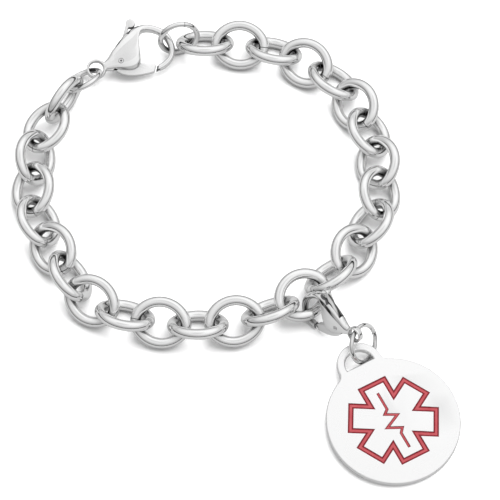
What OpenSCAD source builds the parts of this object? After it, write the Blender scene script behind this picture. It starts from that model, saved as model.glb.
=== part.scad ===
// Medical alert bracelet: a chain of oval links closed by a lobster clasp, with a round enamelled tag
// that hangs on a smaller clasp of its own. It lies on a surface at z = 0, and the origin is the
// middle of the wrist opening.

/* [Chain links] */
// Outer length of one oval link
link_l = 10.25; // [9.9:0.05:10.8]
// Outer width of one oval link
link_w = 8.7; // [8.4:0.1:9]
// Thickness of the links' round wire
wire_d = 1.8; // [1.6:0.05:1.85]
// Play between two links where one hangs in the other
link_play = 0.5; // [0.45:0.05:0.6]
// Width of the fine butt seam across each wire
seam_w = 0.06; // [0.04:0.01:0.1]
// Depth of the butt seams
seam_depth = 0.08; // [0.05:0.01:0.12]

/* [End rings] */
// Outer diameter of the two round rings at the chain's ends
ring_d = 7.6; // [7.4:0.1:7.8]
// Thickness of those rings' wire
ring_wire = 1; // [0.9:0.05:1.05]

/* [Clasps] */
// Length of the large clasp from the middle of its eye to the far side of its hook
clasp_l = 14.5; // [14:0.1:15]
// Width of the large clasp's body from its gate side to its back
clasp_w = 8.9; // [8.6:0.1:9.2]
// Thickness of the large clasp where it is thickest
clasp_t = 2.8; // [2.7:0.1:3]
// Diameter of the hole in the clasp's eye
eye_hole = 2.5; // [2.3:0.1:2.6]
// Thickness of the metal round that hole
eye_wall = 0.5; // [0.4:0.05:0.6]
// Height of the eye along its hole
eye_h = 1.3; // [1.2:0.1:1.5]
// Thickness of the lever
lever_t = 1; // [0.8:0.1:1.2]
// Clearance between the lever and what it moves past
lever_play = 0.1; // [0.08:0.01:0.15]
// Radius of the lever's boss round its rivet
boss_r = 1.15; // [1:0.05:1.3]
// Diameter of the rivet that the lever turns on
rivet_d = 0.8; // [0.6:0.1:1]
// Radial clearance of the lever on its rivet
rivet_play = 0.05; // [0.03:0.01:0.1]
// Radial clearance of the rivet in the clasp's cheeks
rivet_seat = 0.015; // [0.01:0.005:0.02]
// Angle that the lever opens through
lever_open = 22; // [18:1:24]
// Size of the charm clasp as a share of the large one
charm_share = 0.8; // [0.78:0.01:0.82]

/* [Tag] */
// Diameter of the round tag
tag_d = 22; // [21:0.1:24]
// Thickness of the tag
tag_t = 1.2; // [1:0.05:1.3]
// Radius of the lug's round outside
lug_r = 3.85; // [3.7:0.05:4]
// Width of the lug's band round its hole
lug_band = 1.35; // [1.2:0.05:1.45]
// Radius of the hollow where the lug meets the disc
lug_fillet = 1.4; // [1:0.1:2]
// Outer diameter of the ring that joins the tag to its clasp
charm_ring_d = 7; // [6.9:0.1:7.2]
// Thickness of that ring's wire
charm_ring_wire = 0.8; // [0.7:0.05:0.85]

/* [Enamel] */
// Reach of the star's arms from the middle of the tag
star_reach = 7.4; // [6.5:0.1:8]
// Width of one arm of the star
star_arm = 5.2; // [4.6:0.1:5.6]
// Width of the channel that outlines the star
channel_w = 0.9; // [0.6:0.05:1.1]
// Depth of the engraved channels
channel_depth = 0.4; // [0.3:0.05:0.6]
// How far the enamel lies below the tag's face
enamel_sink = 0.08; // [0.04:0.01:0.15]
// Clear gap between the enamel and its channel
enamel_gap = 0.02; // [0.01:0.005:0.04]
// Length of the heartbeat trace in the middle of the star
trace_l = 10.6; // [8:0.1:11.4]
// Height that the trace's beats are drawn to
trace_h = 2.6; // [1.6:0.1:2.8]
// Width of the trace's line
trace_w = 0.5; // [0.3:0.05:0.6]

/* [Hidden] */

STEEL = "#dcdee0";
BRIGHT_STEEL = "#eceef0";
ENAMEL = "#b8152c";
$fn = 64;
over = 1;

// The links in order round the loop. Heading is the direction that a link runs in and roll its lean
// about that direction, in degrees. Seam is where its butt seam lies round the oval: 0 is the middle
// of the leading end and 180 that of the trailing one.
HEADING = 0;
ROLL = 1;
SEAM = 2;
LINKS = [
    [0, -34, 180], [-7, 30, 0], [-17, -33, 184], [-32, 33, -10], [-45, -34, 176], [-62, 35, -5],
    [-76, -33, 178], [-80, 36, 183], [-99, -37, 0], [-115, 36, 188], [-123, -34, 180], [-139, 45, -4],
    [-146, -22, 176], [-157, 46, 181], [-170, -31, 187], [-179, 37, 178], [-189, -31, -2], [-196, 36, 182],
    [-213, -37, -20], [-246, 46, 178], [-232, -38, 160], [-254, 38, 180], [-262, -33, 183], [-279, 48, -5],
    [-292, -22, 178], [-303, -86, 181]
];

// The rings at the two ends of the chain. Each faces up but leans by an angle towards a bearing, and
// has the height of its middle. The loop runs into its middle on one heading and out on another. The
// wires cross at a slant, so each run falls short of the ring's own reach by its slack.
LEAN = 0;
BEARING = 1;
HEIGHT = 2;
RUN_IN = 3;
RUN_OUT = 4;
SLACK_IN = 5;
SLACK_OUT = 6;
END_RING = [78.5, 283.5, 3.77, -11.4, -17.2, 0.26, 0.49];
EYE_RING = [41, 127, 2.81, 62.5, 48.3, -0.07, 0.32];
// Where the butt seam of each ring lies, in degrees round it
END_SEAM = 160;
EYE_SEAM = 20;
CHARM_SEAM = 75;

// The large clasp: heading, roll and the height of its eye. Its eye and hook hold the middle of each
// ring's wire at these places in its own plane.
CLASP = [19, 16, 2.5];
EYE_HOLD = (eye_hole - ring_wire) * [-0.29, -0.13];
HOOK_HOLD = [0.904 * clasp_l, 0.237 * clasp_w];

// Shape of a clasp's body from its neck round the hook to the tip: the outer edge, the inner edge and
// the thickness, as shares of clasp_l along, clasp_w across and clasp_t
OUTER = [0, 1];
INNER = [2, 3];
THICK = 4;
SECTIONS = [
    [0.09, 0.08, 0.09, -0.08, 0.42],
    [0.165, 0.14, 0.155, -0.115, 0.6],
    [0.24, 0.26, 0.235, -0.15, 0.8],
    [0.33, 0.38, 0.32, -0.21, 0.93],
    [0.415, 0.48, 0.4, -0.25, 1],
    [0.49, 0.55, 0.475, -0.245, 1],
    [0.56, 0.595, 0.535, -0.16, 0.97],
    [0.615, 0.612, 0.562, 0.02, 0.93],
    [0.665, 0.615, 0.58, 0.21, 0.87],
    [0.71, 0.605, 0.605, 0.37, 0.8],
    [0.76, 0.585, 0.665, 0.455, 0.72],
    [0.83, 0.53, 0.755, 0.425, 0.65],
    [0.9, 0.45, 0.835, 0.34, 0.6],
    [0.96, 0.345, 0.89, 0.235, 0.57],
    [0.993, 0.2, 0.915, 0.115, 0.55],
    [1, 0.035, 0.922, 0.005, 0.54],
    [0.983, -0.11, 0.908, -0.1, 0.54],
    [0.932, -0.24, 0.87, -0.18, 0.54],
    [0.86, -0.33, 0.81, -0.235, 0.54],
    [0.785, -0.38, 0.76, -0.265, 0.54],
    [0.682, -0.4, 0.715, -0.28, 0.54]
];
// How square a section of the body is: 1 is an ellipse and 0 a rectangle
SOFTNESS = 0.75;
SIDES = 16;
STEPS = 2;

// The rivet's place in the clasp and its length between the rounded cheeks
RIVET_AT = [0.31 * clasp_l, -0.01 * clasp_w];
RIVET_L = 0.88 * clasp_t;
// The two arms of the lever, and where its slot ends at the neck, as shares of clasp_l and clasp_w
GATE = [
    [0.225, -0.16], [0.28, -0.25], [0.345, -0.31], [0.415, -0.35], [0.5, -0.375], [0.595, -0.388],
    [0.667, -0.388], [0.703, -0.28], [0.683, -0.225], [0.61, -0.185], [0.54, -0.145], [0.37, 0.05]
];
TAB = [[0.245, 0.04], [0.447, 0.54], [0.52, 0.74], [0.585, 0.7], [0.515, 0.59], [0.375, 0.02]];
TAB_TIP = [0.568, 0.7];
SLOT_END = [0.19, -0.17];
TAB_TIP_R = 0.85;

// The link that the charm clasp hooks round, and how far the hook under it lifts it
CHARM_LINK = 12;
CHARM_LIFT = 0.15;
// The charm clasp: heading, roll and slope, and the place in its own plane where it holds the middle of
// that link's wire
CHARM_CLASP = [139.5, 112.5, -19];
CHARM_HOLD = [0.807 * clasp_l, -0.036 * clasp_w] * charm_share;
// The ring between the charm clasp and the tag: its lean and bearing, and where its middle lies from
// the clasp's eye as shares of the radius of its wire's middle line
CHARM_RING = [57.9, -28.2];
CHARM_RING_FROM = [0.468, -0.168, -0.784];
// The tag: the direction of its lug, how far that side is raised, and where the middle of the ring
// lies beyond the lug's hole and beside it
TAG_HEADING = 118;
TAG_RAISE = 2.7;
TAG_RING = [0.08, 2.04];
// How far the middle of the lug lies outside the disc's edge
LUG_OUT = 0.1;
lug_at = tag_d / 2 + LUG_OUT;

// The heartbeat trace, as shares of trace_l along and trace_h across
TRACE = [[-0.5, 0], [-0.24, 0], [-0.17, -0.25], [-0.07, 0.6], [0.05, -0.4], [0.14, 0.3], [0.2, 0], [0.5, 0]];

function link_name(i) = str("link_", i < 10 ? "0" : "", i);
function along(angle) = [cos(angle), sin(angle), 0];
function raised(at, height) = [at[0], at[1], height];
function sum(list, k = 0) = k == len(list) ? list[0] * 0 : list[k] + sum(list, k + 1);

// How far a leaning ring's wire reaches in plan from its middle towards a heading
function ring_reach(ring, heading) =
    (ring_d - ring_wire) / 2 * sqrt(1 - pow(sin(ring[LEAN]) * cos(heading - ring[BEARING]), 2));
function in_ring(ring, heading) = ring_reach(ring, heading) - (ring_wire + link_play) / 2;

// The run of the loop from the hook to the eye: length and heading of each stretch
STRETCHES = concat(
    [[ring_reach(END_RING, END_RING[RUN_IN]) - END_RING[SLACK_IN], END_RING[RUN_IN]]],
    [[in_ring(END_RING, END_RING[RUN_OUT]) - END_RING[SLACK_OUT], END_RING[RUN_OUT]]],
    [for (row = LINKS) [link_l - 2 * wire_d - link_play, row[HEADING]]],
    [[in_ring(EYE_RING, EYE_RING[RUN_IN]) - EYE_RING[SLACK_IN], EYE_RING[RUN_IN]]],
    [[ring_reach(EYE_RING, EYE_RING[RUN_OUT]) - EYE_RING[SLACK_OUT], EYE_RING[RUN_OUT]]]
);
last = len(STRETCHES) - 1;

// The loop closes when the chain's run meets the clasp. Two small slow bends, added to the headings,
// take up what is left over: bend[0] works along X and bend[1] along Y.
function heading(k, bend) = let (h = STRETCHES[k][1]) h + bend[0] * sin(h) + bend[1] * cos(h);
function stretch(k, bend) = STRETCHES[k][0] * along(heading(k, bend));
clasp_run = in_clasp(CLASP, HOOK_HOLD) - in_clasp(CLASP, EYE_HOLD);
function in_clasp(pose, at) =
    at[0] * along(pose[0]) + at[1] * (cos(pose[1]) * along(pose[0] + 90) + [0, 0, sin(pose[1])]);
loop_l = sum([for (row = STRETCHES) row[0]]);
function closing_bend(bend, rounds) =
    rounds == 0 ? bend :
    let (
        miss = sum([for (k = [0:last]) stretch(k, bend)]) + clasp_run,
        gain = 2 / loop_l * 180 / PI
    )
    closing_bend(bend + gain * [miss[0], -miss[1]], rounds - 1);
BEND = closing_bend([0, 0], 16);

// Where each stretch starts. The middle of the links' middles is the origin.
function starts(k, at) = k > last ? [] : concat([at], starts(k + 1, at + stretch(k, BEND)));
RAW_START = starts(0, [0, 0, 0]);
CENTRE = sum([for (i = [1:len(LINKS)]) RAW_START[i + 1] + stretch(i + 1, BEND) / 2]) / len(LINKS);
START = [for (at = RAW_START) at - CENTRE];
function link_middle(i) = START[i + 2] + stretch(i + 2, BEND) / 2;
function link_heading(i) = heading(i + 2, BEND);

// A link lies on its own lower edge, or its two neighbours hold it up, one crown each
function rest_height(i) = (link_w - wire_d) / 2 * abs(sin(LINKS[i][ROLL])) + wire_d / 2;
function held_height(i) = i == 0 || i == len(LINKS) - 1 ? 0 : (rest_height(i - 1) + rest_height(i + 1)) / 2;
function held(i) = held_height(i) > rest_height(i);
function link_height(i) = (held(i) ? held_height(i) : rest_height(i)) + (i == CHARM_LINK ? CHARM_LIFT : 0);
function link_slope(i) =
    held(i) ? asin((rest_height(i + 1) - rest_height(i - 1)) / (link_l - wire_d)) : 0;

// The loop starts where the hook holds the first ring, and the clasp's eye is set back from there
CLASP_AT = let (at = START[0] - in_clasp(CLASP, HOOK_HOLD)) [at[0], at[1], CLASP[2]];

// A point of a piece's own plane, in the space that the piece is placed in
function placed(at, heading, roll, slope, p) = let (
        up = [-sin(slope) * cos(heading), -sin(slope) * sin(heading), cos(slope)],
        ahead = along(heading) * cos(slope) + [0, 0, sin(slope)],
        across = along(heading + 90) * cos(roll) + up * sin(roll)
    ) at + p[0] * ahead + p[1] * across;

// The charm hangs on the side of its link: first the clasp, then the ring in its eye, then the tag
CHARM_WIRE_AT = let (i = CHARM_LINK, at = link_middle(i)) placed(
    [at[0], at[1], link_height(i)], link_heading(i), LINKS[i][ROLL], link_slope(i), [0, (link_w - wire_d) / 2]
);
CHARM_EYE_AT = placed(CHARM_WIRE_AT, CHARM_CLASP[0], CHARM_CLASP[1], CHARM_CLASP[2], -CHARM_HOLD);
CHARM_RING_AT = CHARM_EYE_AT + (charm_ring_d - charm_ring_wire) / 2 * CHARM_RING_FROM;
TAG_AT = CHARM_RING_AT - (lug_at + lug_r - lug_band + TAG_RING[0]) * along(TAG_HEADING)
    + TAG_RING[1] * along(TAG_HEADING + 90);

module place(at, heading, roll, slope = 0) {
    translate(at) rotate([0, 0, heading]) rotate([0, -slope, 0]) rotate([roll, 0, 0]) children();
}

// A thin ring round a wire, which cuts a butt seam into it
module seam_cut(wire) {
    rotate([90, 0, 0]) difference() {
        cylinder(d = wire + over, h = seam_w, center = true);
        cylinder(d = wire - 2 * seam_depth, h = 2 * seam_w, center = true);
    }
}

module wire_arc(radius, angle) {
    rotate_extrude(angle = angle) translate([radius, 0]) circle(d = wire_d);
}

// An oval of four arcs. They meet at the angle of a 3-4-5 triangle, so its radii follow from the
// half length a and half width b of the wire's middle line.
module oval_link(seam) {
    a = (link_l - wire_d) / 2;
    b = (link_w - wire_d) / 2;
    end_r = 2 * b - a;
    side_r = 1.5 * a - 0.5 * b;
    end_at = 2 * (a - b);
    side_at = 1.5 * (a - b);
    meet = atan2(3, 4);
    difference() {
        for (i = [0, 1], j = [0, 1]) mirror([i, 0, 0]) mirror([0, j, 0]) {
            translate([end_at, 0, 0]) wire_arc(end_r, meet);
            translate([0, -side_at, 0]) mirror([1, -1, 0]) wire_arc(side_r, 90 - meet);
        }
        translate([sign(cos(seam)) * end_at, 0, 0]) rotate([0, 0, seam])
            translate([end_r, 0, 0]) seam_cut(wire_d);
    }
}

module chain_link(i) {
    at = link_middle(i);
    color(STEEL) place([at[0], at[1], link_height(i)], link_heading(i), LINKS[i][ROLL], link_slope(i))
        oval_link(LINKS[i][SEAM]);
}

module round_ring(outer, wire, seam) {
    difference() {
        rotate_extrude() translate([(outer - wire) / 2, 0]) circle(d = wire);
        rotate([0, 0, seam]) translate([(outer - wire) / 2, 0, 0]) seam_cut(wire);
    }
}

// A ring that leans towards a bearing
module leaning(at, ring) {
    translate(at) rotate([0, ring[LEAN], ring[BEARING]]) children();
}

module end_ring() {
    color(STEEL) leaning(raised(START[1], END_RING[HEIGHT]), END_RING) round_ring(ring_d, ring_wire, END_SEAM);
}

module eye_ring() {
    color(STEEL) leaning(raised(START[last], EYE_RING[HEIGHT]), EYE_RING) round_ring(ring_d, ring_wire, EYE_SEAM);
}

// The body's sections, with STEPS of them between two rows of the table on a smooth curve
function smooth(rows, k, t) = let (
        n = len(rows) - 1,
        p = rows[max(k - 1, 0)], q = rows[k], r = rows[min(k + 1, n)], s = rows[min(k + 2, n)]
    ) (2 * q + (r - p) * t + (2 * p - 5 * q + 4 * r - s) * pow(t, 2) + (3 * q - p - 3 * r + s) * pow(t, 3)) / 2;
function soft(v) = sign(v) * pow(abs(v), SOFTNESS);
function section(row) = let (
        outer = [row[OUTER[0]] * clasp_l, row[OUTER[1]] * clasp_w],
        inner = [row[INNER[0]] * clasp_l, row[INNER[1]] * clasp_w],
        mid = (outer + inner) / 2, half = (outer - inner) / 2, high = row[THICK] * clasp_t / 2
    ) [for (j = [0:SIDES - 1]) let (c = soft(cos(360 * j / SIDES)), s = soft(sin(360 * j / SIDES)))
        [mid[0] + half[0] * c, mid[1] + half[1] * c, high * s]];
BODY_ROWS = concat(
    [for (k = [0:len(SECTIONS) - 2], m = [0:STEPS - 1]) smooth(SECTIONS, k, m / STEPS)],
    [SECTIONS[len(SECTIONS) - 1]]
);

module body_form() {
    n = len(BODY_ROWS);
    polyhedron(
        points = [for (row = BODY_ROWS) each section(row)],
        faces = concat(
            [[for (j = [0:SIDES - 1]) j]],
            [for (k = [0:n - 2], j = [0:SIDES - 1]) let (a = k * SIDES + j, b = k * SIDES + (j + 1) % SIDES)
                each [[a, a + SIDES, b + SIDES], [a, b + SIDES, b]]],
            [[for (j = [SIDES - 1:-1:0]) (n - 1) * SIDES + j]]
        )
    );
}

function sized(share) = [share[0] * clasp_l, share[1] * clasp_w];
function turned(p, angle) = [p[0] * cos(angle) - p[1] * sin(angle), p[0] * sin(angle) + p[1] * cos(angle)];
function swung(p) = RIVET_AT + turned(p - RIVET_AT, lever_open);
function unit(v) = v / norm(v);
// A long line beside the line from a to b, with the lever's play between them
function beside(a, b, side) = let (d = unit(b - a), at = a + side * lever_play * [-d[1], d[0]]) [at, at + clasp_l * d];

// The space that the lever needs between the cheeks, from shut to open
module lever_space() {
    tab_shut = beside(sized(TAB[5]), sized(TAB[4]), -1);
    tab_open = beside(swung(sized(TAB[0])), swung(sized(TAB[1])), 1);
    gate_open = [for (k = [11, 8, 7]) swung(sized(GATE[k])) + [0, lever_play]];
    linear_extrude(height = lever_t + 2 * lever_play, center = true) {
        translate(RIVET_AT) circle(r = boss_r + lever_play);
        translate(sized(TAB_TIP)) circle(r = TAB_TIP_R + lever_play);
        polygon([tab_shut[0], tab_shut[1], tab_open[1], tab_open[0]]);
        polygon([
            [RIVET_AT[0] - boss_r - lever_play, RIVET_AT[1]], tab_shut[0], gate_open[0], gate_open[1], gate_open[2],
            [gate_open[2][0], -clasp_w], [SLOT_END[0] * clasp_l, -clasp_w], sized(SLOT_END)
        ]);
    }
}

module eye() {
    mid = (eye_hole + eye_wall) / 2;
    rotate_extrude() {
        translate([mid - eye_wall / 2, -eye_h / 2 + eye_wall / 2]) square([eye_wall, eye_h - eye_wall]);
        for (s = [-1, 1]) translate([mid, s * (eye_h - eye_wall) / 2]) circle(d = eye_wall);
    }
}

module lobster_body() {
    difference() {
        union() {
            body_form();
            eye();
        }
        cylinder(d = eye_hole, h = clasp_t, center = true);
        lever_space();
        translate(RIVET_AT) cylinder(d = rivet_d + 2 * rivet_seat, h = clasp_t + over, center = true);
    }
}

module lobster_lever() {
    difference() {
        union() {
            translate(RIVET_AT) cylinder(r = boss_r, h = lever_t, center = true);
            linear_extrude(height = lever_t, center = true) polygon([for (p = GATE) sized(p)]);
            linear_extrude(height = lever_t, center = true) polygon([for (p = TAB) sized(p)]);
            translate(sized(TAB_TIP)) cylinder(r = TAB_TIP_R, h = lever_t, center = true);
        }
        translate(RIVET_AT) cylinder(d = rivet_d + 2 * rivet_play, h = lever_t + over, center = true);
    }
}

module lobster_rivet() {
    translate(RIVET_AT) cylinder(d = rivet_d, h = RIVET_L, center = true);
}

module at_clasp() {
    place(CLASP_AT, CLASP[0], CLASP[1]) children();
}

module at_charm_clasp() {
    place(CHARM_EYE_AT, CHARM_CLASP[0], CHARM_CLASP[1], CHARM_CLASP[2]) scale(charm_share) children();
}

module clasp_body() {
    color(BRIGHT_STEEL) at_clasp() lobster_body();
}

module clasp_lever() {
    color(STEEL) at_clasp() lobster_lever();
}

module clasp_rivet() {
    color(STEEL) at_clasp() lobster_rivet();
}

module charm_clasp_body() {
    color(BRIGHT_STEEL) at_charm_clasp() lobster_body();
}

module charm_clasp_lever() {
    color(STEEL) at_charm_clasp() lobster_lever();
}

module charm_clasp_rivet() {
    color(STEEL) at_charm_clasp() lobster_rivet();
}

module charm_ring() {
    color(STEEL) leaning(CHARM_RING_AT, CHARM_RING) round_ring(charm_ring_d, charm_ring_wire, CHARM_SEAM);
}

// The tag's blank, with its lug towards +X. Each fillet is an arc that touches disc and lug, in a web
// that reaches well inside both.
module tag_blank() {
    disc_r = tag_d / 2;
    from_disc = disc_r + lug_fillet;
    from_lug = lug_r + lug_fillet;
    x = (pow(from_disc, 2) - pow(from_lug, 2) + pow(lug_at, 2)) / (2 * lug_at);
    y = sqrt(pow(from_disc, 2) - pow(x, 2));
    cylinder(r = disc_r, h = tag_t);
    translate([lug_at, 0, 0]) cylinder(r = lug_r, h = tag_t);
    difference() {
        linear_extrude(height = tag_t) polygon([[0, 0], [x, y], [lug_at, 0], [x, -y]]);
        for (s = [-1, 1]) translate([x, s * y, -over]) cylinder(r = lug_fillet, h = tag_t + 2 * over);
    }
}

// A half moon with its straight side towards the disc
module lug_hole() {
    hole_r = lug_r - lug_band;
    translate([0, 0, -over]) linear_extrude(height = tag_t + 2 * over) intersection() {
        translate([lug_at, 0]) circle(r = hole_r);
        translate([lug_at - LUG_OUT, -lug_r]) square([lug_r, 2 * lug_r]);
    }
}

// A six-armed star: two corners at the end of each arm and a notch between two arms
function star(reach, half) = [for (k = [0:5]) each [
    turned([reach, -half], 60 * k), turned([reach, half], 60 * k), turned([2 * half, 0], 60 * k + 30)
]];
module star_channel(gap = 0) {
    difference() {
        polygon(star(star_reach - gap, star_arm / 2 - gap));
        polygon(star(star_reach - channel_w + gap, star_arm / 2 - channel_w + gap));
    }
}

// A line of width w along points, with mitred corners
function corner(points, k) = let (
        n = len(points) - 1,
        a = unit(points[max(k, 1)] - points[max(k, 1) - 1]),
        b = unit(points[min(k + 1, n)] - points[min(k + 1, n) - 1])
    ) [-a[1] - b[1], a[0] + b[0]] / (1 + a * b);
module trace_line(gap = 0) {
    half = trace_w / 2 - gap;
    n = len(TRACE) - 1;
    points = [for (k = [0:n]) [TRACE[k][0] * (trace_l - (k % n == 0 ? 2 * gap : 0)), TRACE[k][1] * trace_h]];
    polygon(concat(
        [for (k = [0:n]) points[k] + corner(points, k) * half],
        [for (k = [n:-1:0]) points[k] - corner(points, k) * half]
    ));
}

// The tag lies on the far edge of its disc, with its lug raised on the ring
module at_tag() {
    place(raised(TAG_AT, tag_d / 2 * sin(TAG_RAISE)), TAG_HEADING, 0, TAG_RAISE) children();
}

module tag() {
    color(BRIGHT_STEEL) at_tag() difference() {
        tag_blank();
        lug_hole();
        translate([0, 0, tag_t - channel_depth]) linear_extrude(height = channel_depth + over) {
            star_channel();
            trace_line();
        }
    }
}

enamel_h = channel_depth - enamel_sink - enamel_gap;

module star_enamel() {
    color(ENAMEL) at_tag() translate([0, 0, tag_t - enamel_sink - enamel_h])
        linear_extrude(height = enamel_h) star_channel(enamel_gap);
}

module trace_enamel() {
    color(ENAMEL) at_tag() translate([0, 0, tag_t - enamel_sink - enamel_h])
        linear_extrude(height = enamel_h) trace_line(enamel_gap);
}

for (i = [1:len(LINKS)]) chain_link(i - 1);
end_ring();
eye_ring();
clasp_body();
clasp_lever();
clasp_rivet();
charm_clasp_body();
charm_clasp_lever();
charm_clasp_rivet();
charm_ring();
tag();
star_enamel();
trace_enamel();
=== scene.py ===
import math

import bmesh
import bpy
import numpy as np
from mathutils import Matrix, Vector
from mathutils.bvhtree import BVHTree


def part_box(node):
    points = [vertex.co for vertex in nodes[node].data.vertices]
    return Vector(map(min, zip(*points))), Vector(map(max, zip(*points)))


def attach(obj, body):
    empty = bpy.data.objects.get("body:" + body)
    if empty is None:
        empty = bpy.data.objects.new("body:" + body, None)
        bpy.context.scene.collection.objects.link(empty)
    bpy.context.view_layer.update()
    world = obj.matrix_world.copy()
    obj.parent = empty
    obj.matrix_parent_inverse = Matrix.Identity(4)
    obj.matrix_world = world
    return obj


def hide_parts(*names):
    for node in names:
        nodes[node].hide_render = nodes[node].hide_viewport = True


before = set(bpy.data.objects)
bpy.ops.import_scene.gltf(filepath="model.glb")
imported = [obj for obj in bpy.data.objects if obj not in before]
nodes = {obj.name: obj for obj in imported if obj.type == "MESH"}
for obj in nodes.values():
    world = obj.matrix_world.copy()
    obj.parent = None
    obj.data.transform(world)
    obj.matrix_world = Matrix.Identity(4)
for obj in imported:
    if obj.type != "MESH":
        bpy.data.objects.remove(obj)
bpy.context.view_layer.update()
mm = 0.001
fullTurn = 2 * math.pi


# a socket in a plain expression, which adds its own Math nodes
class Value:
    def __init__(self, tree, socket):
        self.tree = tree
        self.socket = socket

    def maths(self, operation, first, second):
        return makeNode(self.tree, "ShaderNodeMath", {"operation": operation}, {0: first, 1: second})

    def __add__(self, other):
        return self.maths("ADD", self, other)

    def __radd__(self, other):
        return self.maths("ADD", other, self)

    def __mul__(self, other):
        return self.maths("MULTIPLY", self, other)

    def __rmul__(self, other):
        return self.maths("MULTIPLY", other, self)


def grey(level):
    return (level, level, level, 1.0)


def setStops(ramp, stops):
    while len(ramp.elements) < len(stops):
        ramp.elements.new(0.5)
    for element, (position, level) in zip(ramp.elements, stops):
        element.position = position
        element.color = grey(level)


def makeNode(tree, kind, settings=None, inputs=None, output=0):
    # settings come first, because some of them change which sockets a node has
    made = tree.nodes.new(kind)
    for name, setting in (settings or {}).items():
        if name == "stops":
            setStops(made.color_ramp, setting)
        else:
            setattr(made, name, setting)
    for name, given in (inputs or {}).items():
        if isinstance(given, Value):
            tree.links.new(given.socket, made.inputs[name])
        else:
            made.inputs[name].default_value = given
    return Value(tree, made.outputs[output]) if made.outputs else None


def noise(tree, place, scale, detail):
    return makeNode(tree, "ShaderNodeTexNoise", {}, {"Vector": place, "Scale": scale, "Detail": detail})


def blendColours(tree, share, low, high):
    # a Mix node's colours are its inputs 6 and 7, and their mix is its output 2
    return makeNode(tree, "ShaderNodeMix", {"data_type": "RGBA"}, {0: share, 6: low, 7: high}, 2)


def fineRelief(tree, height, strength, depth):
    return makeNode(tree, "ShaderNodeBump", {}, {"Strength": strength, "Distance": depth, "Height": height})


def newFinish(name):
    material = bpy.data.materials.new(name)
    material.use_nodes = True
    tree = material.node_tree
    tree.nodes.clear()
    return material, tree


def closeFinish(tree, inputs):
    shader = makeNode(tree, "ShaderNodeBsdfPrincipled", {}, inputs)
    makeNode(tree, "ShaderNodeOutputMaterial", {}, {"Surface": shader})


steelLook = {
    "bright": grey(0.935),
    "dull": grey(0.87),
    "roughness": 0.05,
    "roughnessSpread": 0.06,
    "patchScale": 420.0,  # patches per metre where the polish changes a little
    "patchDetail": 3.0,
    "scratchScale": 5200.0,
    "scratchDetail": 2.0,
    "scratchStrength": 0.25,
    "scratchDepth": 0.0012 * mm,
    # painted shade: the steel turns nearly black where nearby surfaces close it in, in recesses and between
    # parts
    "recessShade": grey(0.05),
    "recessReach": 1.3 * mm,  # how far apart two walls are when the steel between them starts to darken with painted shade
    "recessSamples": 8,
}
castLook = {**steelLook, "roughness": 0.06, "patchScale": 260.0}


def polishedSteel(name, look):
    material, tree = newFinish(name)
    place = makeNode(tree, "ShaderNodeTexCoord", output="Object")
    patches = noise(tree, place, look["patchScale"], look["patchDetail"])
    scratches = noise(tree, place, look["scratchScale"], look["scratchDetail"])
    polish = blendColours(tree, patches, look["dull"], look["bright"])
    # painted shade: the base colour darkens towards the shade colour wherever ambient occlusion finds the
    # steel closed in
    openness = makeNode(
        tree, "ShaderNodeAmbientOcclusion", {"samples": look["recessSamples"]},
        {"Distance": look["recessReach"]}, output=1,
    )
    closeFinish(tree, {
        "Base Color": blendColours(tree, openness, look["recessShade"], polish),
        "Metallic": 1.0,
        "Roughness": look["roughness"] + patches * look["roughnessSpread"],
        "Normal": fineRelief(tree, scratches, look["scratchStrength"], look["scratchDepth"]),
    })
    return material


tagLook = {
    "face": grey(0.96),
    "shade": grey(0.93),
    "roughness": 0.22,
    "roughnessSpread": 0.1,
    "cloudScale": 120.0,
    "cloudDetail": 3.0,
    "grainScale": 9000.0,
    "grainDetail": 2.0,
    "grainStrength": 0.3,
    "grainDepth": 0.002 * mm,
}


def satinSteel(name, look):
    material, tree = newFinish(name)
    place = makeNode(tree, "ShaderNodeTexCoord", output="Object")
    clouds = noise(tree, place, look["cloudScale"], look["cloudDetail"])
    grain = noise(tree, place, look["grainScale"], look["grainDetail"])
    closeFinish(tree, {
        "Base Color": blendColours(tree, clouds, look["shade"], look["face"]),
        "Metallic": 1.0,
        "Roughness": look["roughness"] + clouds * look["roughnessSpread"],
        "Normal": fineRelief(tree, grain, look["grainStrength"], look["grainDepth"]),
    })
    return material


enamelLook = {
    "deep": (0.24, 0.02, 0.03, 1.0),
    "light": (0.34, 0.07, 0.075, 1.0),
    "roughness": 0.3,
    "roughnessSpread": 0.1,
    "shine": 0.25,
    "cloudScale": 700.0,
    "cloudDetail": 2.0,
}
# the enamel is a darker red along the channel's walls
enamelEdgeLook = {**enamelLook, "deep": (0.09, 0.0, 0.003, 1.0), "light": (0.14, 0.001, 0.007, 1.0)}


def glassyEnamel(name, look):
    material, tree = newFinish(name)
    place = makeNode(tree, "ShaderNodeTexCoord", output="Object")
    clouds = noise(tree, place, look["cloudScale"], look["cloudDetail"])
    closeFinish(tree, {
        "Base Color": blendColours(tree, clouds, look["deep"], look["light"]),
        "Roughness": look["roughness"] + clouds * look["roughnessSpread"],
        "Specular IOR Level": look["shine"],
    })
    return material


# the dark steel of the wire seams, partly their own dark line and partly painted shade in the grooves, and
# painted shade in the clasps' gate gaps and rivet dimples
seamAndShadeLook = {
    "colour": (0.16, 0.16, 0.165, 1.0),
    "roughness": 0.35,
    "roughnessSpread": 0.2,
    "grimeScale": 3000.0,
    "grimeDetail": 2.0,
}


def darkSeamAndShade(name, look):
    material, tree = newFinish(name)
    place = makeNode(tree, "ShaderNodeTexCoord", output="Object")
    grime = noise(tree, place, look["grimeScale"], look["grimeDetail"])
    closeFinish(tree, {
        "Base Color": look["colour"],
        "Metallic": 1.0,
        "Roughness": look["roughness"] + grime * look["roughnessSpread"],
    })
    return material


steel = polishedSteel("polished_steel", steelLook)
castSteel = polishedSteel("polished_cast_steel", castLook)
tagSteel = satinSteel("satin_tag_steel", tagLook)
enamel = glassyEnamel("crimson_enamel", enamelLook)
enamelEdge = glassyEnamel("deep_crimson_enamel", enamelEdgeLook)
seamAndShadeSteel = darkSeamAndShade("seam_and_shade_steel", seamAndShadeLook)
print("finishes made")
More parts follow.
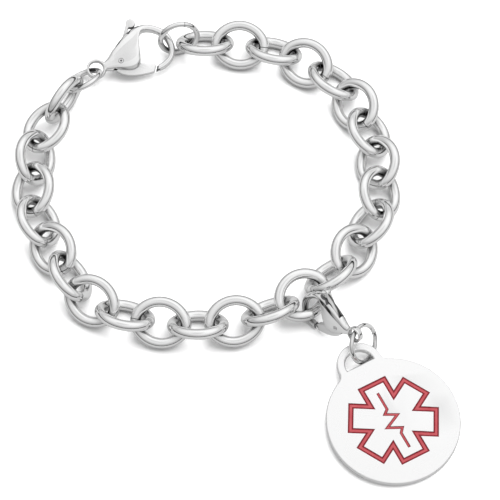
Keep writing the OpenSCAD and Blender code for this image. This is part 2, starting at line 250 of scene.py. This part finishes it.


# a piece's second material, where it has one, is the darker one of its seam, dimples or edges; in the seams
# it is partly their own dark line and partly painted shade, in the dimples and the clasps' gate gap it is
# painted shade
def finishPiece(shape, name, node, body, materials, sharpAngle):
    mesh = bpy.data.meshes.new(name)
    shape.to_mesh(mesh)
    shape.free()
    for material in materials:
        mesh.materials.append(material)
    for polygon in mesh.polygons:
        polygon.use_smooth = True
    mesh.set_sharp_from_angle(angle=math.radians(sharpAngle))
    piece = bpy.data.objects.new(name, mesh)
    bpy.context.scene.collection.objects.link(piece)
    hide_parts(node)
    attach(piece, body)
    return piece


def placeOf(name):
    # a ring's middle, its longest direction and its flattest one, weighed by the area of its faces
    mesh = nodes[name].data
    mesh.calc_loop_triangles()
    corners = np.array([vertex.co for vertex in mesh.vertices])
    triangles = corners[np.array([triangle.vertices for triangle in mesh.loop_triangles])]
    sides = triangles[:, 1:] - triangles[:, :1]
    areas = np.linalg.norm(np.cross(sides[:, 0], sides[:, 1]), axis=1)
    middles = triangles.mean(axis=1)
    centre = (middles * areas[:, None]).sum(0) / areas.sum()
    spread = (middles - centre) * np.sqrt(areas)[:, None]
    flattest, _, longest = np.linalg.eigh(spread.T @ spread)[1].T
    up = Vector(flattest)
    return Vector(centre), Vector(longest), -up if up.z < 0 else up


def turnedTo(centre, forward, up):
    # takes a flat loop from the origin to its centre, with its x axis towards forward and its face up
    forward = (forward - up * forward.dot(up)).normalized()
    side = up.cross(forward)
    return Matrix.Translation(centre) @ Matrix((forward, side, up)).transposed().to_4x4()


def direction(angle):
    return Vector((math.cos(angle), math.sin(angle), 0))


leastTurn = 1e-6  # a shorter turn is left out
leastSteps = 2  # in each arc, however short
weldDistance = 0.002 * mm  # closer points become one
planeTolerance = 0.001 * mm  # how far off the seam's plane a point may be and still count as on it


def bendWire(arcs, startAngle, form):
    # arcs give their centre, radius and the angle where they end, in order round the loop
    loop = bmesh.new()
    wire = form["wire"]
    endAngle = startAngle + fullTurn
    index = next(number for number, arc in enumerate(arcs) if startAngle < arc["until"])
    start = Vector(arcs[index]["centre"]) + arcs[index]["radius"] * direction(startAngle)
    facing = Matrix.Rotation(startAngle, 4, "Z") @ Matrix.Rotation(math.pi / 2, 4, "X")
    bmesh.ops.create_circle(
        loop, segments=form["sides"], radius=wire / 2, matrix=Matrix.Translation(start) @ facing,
    )
    tip = loop.verts[:] + loop.edges[:]
    angle = startAngle
    while angle < endAngle - leastTurn:
        arc = arcs[index % len(arcs)]
        until = min(arc["until"] + fullTurn * (index // len(arcs)), endAngle)
        turn = until - angle
        if turn > leastTurn:
            spun = bmesh.ops.spin(
                loop, geom=tip, cent=arc["centre"], axis=(0, 0, 1), dvec=(0, 0, 0), angle=turn,
                space=Matrix.Identity(4), steps=max(leastSteps, round(turn / form["stepAngle"])),
                use_merge=False, use_normal_flip=False, use_duplicate=False,
            )
            tip = spun["geom_last"]
        angle = until
        index += 1
    bmesh.ops.remove_doubles(loop, verts=loop.verts, dist=weldDistance)
    cutSeam(loop, start, direction(startAngle + math.pi / 2), form)
    bmesh.ops.recalc_face_normals(loop, faces=loop.faces)
    return loop


def cutSeam(loop, start, along, form):
    # the wire's two ends meet in a fine groove, and the bevel's two segments leave a ring of
    # points for its bottom; the groove's faces take the dark steel, partly the seam's own dark line and
    # partly painted shade
    def inSeam(vert):
        away = vert.co - start
        return abs(away.dot(along)) < planeTolerance and away.length < form["wire"]

    seam = [edge for edge in loop.edges if all(inSeam(vert) for vert in edge.verts)]
    bmesh.ops.bevel(
        loop, geom=seam, offset=form["seamWidth"] / 2, offset_type="OFFSET", segments=2, profile=0.5,
        affect="EDGES", material=-1, clamp_overlap=False,
    )
    bottom = [vert for vert in loop.verts if inSeam(vert)]
    for vert in bottom:
        vert.co = start + (vert.co - start) * (1 - 2 * form["seamDepth"] / form["wire"])
    for face in loop.faces:
        face.material_index = 1 if any(vert in bottom for vert in face.verts) else 0


linkForm = {
    "length": 10.25 * mm,
    "width": 8.7 * mm,
    "wire": 1.8 * mm,
    "sides": 28,
    "stepAngle": math.radians(4.5),
    "seamWidth": 0.12 * mm,
    "seamDepth": 0.1 * mm,
    "sharpAngle": 50,
    # where each link's butt seam lies, in degrees round the oval from the end that faces the next link
    "seams": [
        180, 0, 184, -10, 176, -5, 178, 183, 0, 188, 180, -4, 176, 181, 187, 178, -2, 182,
        -20, 178, 160, 180, 183, -5, 178, 181,
    ],
}


def ovalArcs(length, width, wire):
    # the centres of an end's and a side's arc lie 4 and 3 units out, and the two arcs meet smoothly
    # on the line through both centres
    halfLength = (length - wire) / 2
    halfWidth = (width - wire) / 2
    unit = (halfLength - halfWidth) / 2
    endAt = 4 * unit
    sideAt = 3 * unit
    endRadius = halfLength - endAt
    sideRadius = halfWidth + sideAt
    meet = math.atan2(3, 4)
    return [
        {"centre": (endAt, 0, 0), "radius": endRadius, "until": meet},
        {"centre": (0, -sideAt, 0), "radius": sideRadius, "until": math.pi - meet},
        {"centre": (-endAt, 0, 0), "radius": endRadius, "until": math.pi + meet},
        {"centre": (0, sideAt, 0), "radius": sideRadius, "until": fullTurn - meet},
        {"centre": (endAt, 0, 0), "radius": endRadius, "until": fullTurn},
    ]


def makeLinks(form):
    names = [f"link_{number:02d}" for number in range(1, len(form["seams"]) + 1)]
    places = [placeOf(name) for name in names + ["eye_ring"]]
    arcs = ovalArcs(form["length"], form["width"], form["wire"])
    for index, name in enumerate(names):
        centre, longest, up = places[index]
        if longest.dot(places[index + 1][0] - centre) < 0:
            longest = -longest
        link = bendWire(arcs, math.radians(form["seams"][index] % 360), form)
        bmesh.ops.transform(link, matrix=turnedTo(centre, longest, up), verts=link.verts)
        finishPiece(
            link, "polished_" + name, name, "bracelet", [steel, seamAndShadeSteel], form["sharpAngle"],
        )


makeLinks(linkForm)
print("chain links made")


ringForm = {
    "sides": 22,
    "stepAngle": math.radians(4),
    "seamWidth": 0.09 * mm,
    "seamDepth": 0.07 * mm,
    "sharpAngle": 50,
    # seamAt is in degrees round the ring from its lowest point
    "rings": {
        "end_ring": {"outer": 7.6 * mm, "wire": 1.0 * mm, "seamAt": 160},
        "eye_ring": {"outer": 7.6 * mm, "wire": 1.0 * mm, "seamAt": 20},
        "charm_ring": {"outer": 7.0 * mm, "wire": 0.8 * mm, "seamAt": 75},
    },
}


def makeRings(form):
    for name, own in form["rings"].items():
        centre, _, up = placeOf(name)
        lowSide = (up * up.z - Vector((0, 0, 1))).normalized()
        arcs = [{"centre": (0, 0, 0), "radius": (own["outer"] - own["wire"]) / 2, "until": fullTurn}]
        ring = bendWire(arcs, math.radians(own["seamAt"]), {**form, **own})
        bmesh.ops.transform(ring, matrix=turnedTo(centre, lowSide, up), verts=ring.verts)
        finishPiece(
            ring, "polished_" + name, name, "bracelet", [steel, seamAndShadeSteel], form["sharpAngle"],
        )


makeRings(ringForm)
print("rings made")


# the clasps, the tag and the enamel start as copies of their solids
copyForm = {
    "weldDistance": 0.001 * mm,
    "flatAngle": 1,  # faces that meet at less than this many degrees become one
    "edgeAngle": 50,  # edges sharper than this get rounded
    "roundingSteps": 3,
}


def mergedCopy(name):
    shape = bmesh.new()
    shape.from_mesh(nodes[name].data)
    bmesh.ops.remove_doubles(shape, verts=shape.verts, dist=copyForm["weldDistance"])
    return shape


def flatCopy(name):
    shape = mergedCopy(name)
    bmesh.ops.dissolve_limit(
        shape, angle_limit=math.radians(copyForm["flatAngle"]), use_dissolve_boundaries=False,
        verts=shape.verts, edges=shape.edges,
    )
    return shape


def sharpEdges(shape):
    least = math.radians(copyForm["edgeAngle"])
    return [edge for edge in shape.edges if len(edge.link_faces) == 2 and edge.calc_face_angle(0) > least]


def roundEdges(shape, edges, width):
    bmesh.ops.bevel(
        shape, geom=edges, offset=width, offset_type="OFFSET", segments=copyForm["roundingSteps"],
        profile=0.5, affect="EDGES", material=-1, clamp_overlap=True,
    )


def boxMiddle(node):
    lowest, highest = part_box(node)
    return (Vector(lowest) + Vector(highest)) / 2


claspForm = {
    "voxel": 0.075 * mm,
    "smoothingRounds": 12,
    "smoothingShare": 0.5,
    "leverRounding": 0.1 * mm,
    "gateReach": 5.2 * mm,  # from the rivet to where the gate's end begins
    "gapShadeNearness": 0.6 * mm,
    "rivetRounding": 0.05 * mm,
    "endCorners": 8,  # only a rivet's two flat ends have more corners than this
    "dimpleRim": 0.12 * mm,
    "dimpleSlope": 0.06 * mm,
    "dimpleDepth": 0.1 * mm,
    "bodySharpAngle": 80,
    "sharpAngle": 40,
    # the share of the lengths above that each clasp gets
    "clasps": {"": 1.0, "charm_": 0.8},
}


def castSmooth(shape, form, share):
    # the body is remeshed and eased, as a polished casting is
    mesh = bpy.data.meshes.new("casting")
    shape.to_mesh(mesh)
    shape.free()
    casting = bpy.data.objects.new("casting", mesh)
    bpy.context.scene.collection.objects.link(casting)
    remesh = casting.modifiers.new("remesh", "REMESH")
    remesh.mode = "VOXEL"
    remesh.voxel_size = form["voxel"] * share
    ease = casting.modifiers.new("ease", "SMOOTH")
    ease.factor = form["smoothingShare"]
    ease.iterations = form["smoothingRounds"]
    done = bmesh.new()
    done.from_object(casting, bpy.context.evaluated_depsgraph_get())
    bpy.data.objects.remove(casting)
    bpy.data.meshes.remove(mesh)
    return done


def paintGapShade(shape, facing, hinge, form, share):
    # the end of the gate and the hook's tip face each other across a narrow gap, and the faces beside it
    # take the dark steel as painted shade in the gap
    for face in shape.faces:
        middle = face.calc_center_median()
        beyondGate = (middle - hinge).length > form["gateReach"] * share
        if beyondGate and facing.find_nearest(middle)[3] < form["gapShadeNearness"] * share:
            face.material_index = 1


def dimpleEnds(rivet, form, share):
    ends = [face for face in rivet.faces if len(face.verts) > form["endCorners"]]
    for end in ends:
        bmesh.ops.inset_individual(rivet, faces=[end], thickness=form["dimpleRim"] * share, depth=0)
        bmesh.ops.inset_individual(
            rivet, faces=[end], thickness=form["dimpleSlope"] * share, depth=-form["dimpleDepth"] * share,
        )
        # painted shade: the dimple's bottom takes the dark steel
        end.material_index = 1


def makeClasp(prefix, share, form):
    body = castSmooth(mergedCopy(prefix + "clasp_body"), form, share)
    lever = flatCopy(prefix + "clasp_lever")
    roundEdges(lever, sharpEdges(lever), form["leverRounding"] * share)
    rivet = flatCopy(prefix + "clasp_rivet")
    roundEdges(rivet, sharpEdges(rivet), form["rivetRounding"] * share)
    dimpleEnds(rivet, form, share)
    hinge = boxMiddle(prefix + "clasp_rivet")
    bodyTree = BVHTree.FromBMesh(body)
    paintGapShade(body, BVHTree.FromBMesh(lever), hinge, form, share)
    paintGapShade(lever, bodyTree, hinge, form, share)
    leverBody = prefix + "clasp_lever"
    for name, shape, ridesOn, slot, sharpAngle in (
        ("clasp_body", body, "bracelet", "bright_steel", form["bodySharpAngle"]),
        ("clasp_lever", lever, leverBody, "steel", form["sharpAngle"]),
        ("clasp_rivet", rivet, "bracelet", "steel", form["sharpAngle"]),
    ):
        node = prefix + name
        finishPiece(shape, "polished_" + node, node, ridesOn, [castSteel, seamAndShadeSteel], sharpAngle)


for prefix, share in claspForm["clasps"].items():
    makeClasp(prefix, share, claspForm)
print("clasps made")


def evenNormals(piece):
    # large flat faces keep their own normal, so only the rounding beside them shades
    even = piece.modifiers.new("even normals", "WEIGHTED_NORMAL")
    even.keep_sharp = True


tagForm = {
    "rimRounding": 0.25 * mm,
    "sharpAngle": 40,
}


def makeTag(form):
    shape = flatCopy("tag")
    centre = boxMiddle("star_enamel")
    reach = (Vector(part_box("star_enamel")[1]) - centre).xy.length

    # the channels' own edges lie within the enamel's reach and stay crisp
    def onRim(edge):
        return ((edge.verts[0].co + edge.verts[1].co) / 2 - centre).xy.length >= reach

    roundEdges(shape, [edge for edge in sharpEdges(shape) if onRim(edge)], form["rimRounding"])
    tag = finishPiece(shape, "satin_tag", "tag", "bracelet", [tagSteel], form["sharpAngle"])
    evenNormals(tag)


enamelForm = {
    # width of the deeper red along the edges
    "deepRims": {"star_enamel": 0.24 * mm, "trace_enamel": 0.12 * mm},
    "rise": 0.02 * mm,
    "topNormal": 0.9,  # the upward part of a top face's normal is more than this
    "sharpAngle": 60,
}


def makeEnamel(form):
    for name, deepRim in form["deepRims"].items():
        inlay = flatCopy(name)
        top = [face for face in inlay.faces if face.normal.z > form["topNormal"]]
        for face in inlay.faces:
            face.material_index = 1
        bmesh.ops.inset_region(
            inlay, faces=top, thickness=deepRim, depth=form["rise"], use_even_offset=True,
        )
        for face in top:
            face.material_index = 0
        inlaid = finishPiece(
            inlay, "glossy_" + name, name, "bracelet", [enamel, enamelEdge], form["sharpAngle"],
        )
        evenNormals(inlaid)


makeTag(tagForm)
makeEnamel(enamelForm)
print("tag and enamel made")


floorLook = {
    "size": 1.6,
    "roughness": 0.6,
    "shine": 0.1,
    # the metal mirrors a greyer floor than the one in view, so its edges stand out from the white
    "floors": {
        "pale_floor": {"height": -0.03 * mm, "level": 0.97, "glow": 0.0, "unseenBy": ["glossy"]},
        "mirrored_floor": {
            "height": -0.02 * mm, "level": 0.22, "glow": 0.24, "unseenBy": ["camera", "diffuse", "shadow"],
        },
    },
}


def makeFloor(name, own, look):
    shape = bmesh.new()
    bmesh.ops.create_grid(shape, x_segments=1, y_segments=1, size=look["size"] / 2)
    bmesh.ops.translate(shape, verts=shape.verts, vec=(0, 0, own["height"]))
    mesh = bpy.data.meshes.new(name)
    shape.to_mesh(mesh)
    shape.free()
    material, tree = newFinish(name)
    closeFinish(tree, {
        "Base Color": grey(own["level"]),
        "Roughness": look["roughness"],
        "Specular IOR Level": look["shine"],
        "Emission Color": grey(1.0),
        "Emission Strength": own["glow"],
    })
    mesh.materials.append(material)
    floor = bpy.data.objects.new(name, mesh)
    bpy.context.scene.collection.objects.link(floor)
    for rays in own["unseenBy"]:
        setattr(floor, "visible_" + rays, False)


skyLook = {
    # how far up a direction points, from -1 to 1, and how bright the studio is there
    "stops": [
        (-1.0, 0.3), (-0.05, 0.3), (0.0, 0.01), (0.12, 0.02), (0.2, 0.42), (0.3, 0.72),
        (0.45, 0.62), (0.6, 0.86), (0.75, 1.0), (0.93, 1.06), (0.97, 0.92), (1.0, 0.86),
    ],
    "strength": 0.92,
    "rightwards": 0.16,  # how much brighter the right side is
    "backwards": 0.22,  # and the side behind the bracelet
}


def makeSky(look):
    world = bpy.data.worlds.new("studio")
    bpy.context.scene.world = world
    world.use_nodes = True
    tree = world.node_tree
    tree.nodes.clear()
    towards = makeNode(tree, "ShaderNodeTexCoord", output="Generated")
    right, back, up = [
        makeNode(tree, "ShaderNodeSeparateXYZ", {}, {0: towards}, axis) for axis in range(3)
    ]
    # the ramp runs from 0, straight down, to 1, straight up
    stops = [(0.5 + 0.5 * height, level) for height, level in look["stops"]]
    light = makeNode(tree, "ShaderNodeValToRGB", {"stops": stops}, {0: up * 0.5 + 0.5})
    sky = makeNode(tree, "ShaderNodeBackground", {}, {
        "Color": light,
        "Strength": right * look["rightwards"] + back * look["backwards"] + look["strength"],
    })
    makeNode(tree, "ShaderNodeOutputWorld", {}, {"Surface": sky})


keyLook = {
    "power": 8.4,
    "size": 0.9,
    "place": (0.2, 0.25, 0.5),
}


def makeKeyLight(look):
    lamp = bpy.data.lights.new("key", "AREA")
    lamp.shape = "DISK"
    lamp.size = look["size"]
    lamp.energy = look["power"]
    light = bpy.data.objects.new("key", lamp)
    light.visible_glossy = False  # the metal mirrors the studio alone, so the tag's face isn't blown out
    light.location = look["place"]
    light.rotation_euler = (-Vector(look["place"])).to_track_quat("-Z", "Y").to_euler()
    bpy.context.scene.collection.objects.link(light)


cameraPlace = {
    "target": (5.6846 * mm, -8.8538 * mm, 0.0),
    "distance": 400 * mm,
    "elevation": math.radians(62),
    "pixelsPerMm": 5.9,
    "imageWidth": 500,
    "sensorWidth": 36,
    "clipStart": 0.01,
}


def makeCamera(place):
    lens = bpy.data.cameras.new("camera")
    lens.sensor_width = place["sensorWidth"]
    widthInView = place["imageWidth"] / place["pixelsPerMm"] * mm
    lens.lens = place["sensorWidth"] * place["distance"] / widthInView
    lens.clip_start = place["clipStart"]
    camera = bpy.data.objects.new("camera", lens)
    away = Vector((0, -math.cos(place["elevation"]), math.sin(place["elevation"])))
    camera.location = Vector(place["target"]) + away * place["distance"]
    camera.rotation_euler = (-away).to_track_quat("-Z", "Y").to_euler()
    bpy.context.scene.collection.objects.link(camera)
    bpy.context.scene.camera = camera


for name, own in floorLook["floors"].items():
    makeFloor(name, own, floorLook)
makeSky(skyLook)
makeKeyLight(keyLook)
makeCamera(cameraPlace)
bpy.context.scene.view_settings.view_transform = "Standard"
print("studio made")

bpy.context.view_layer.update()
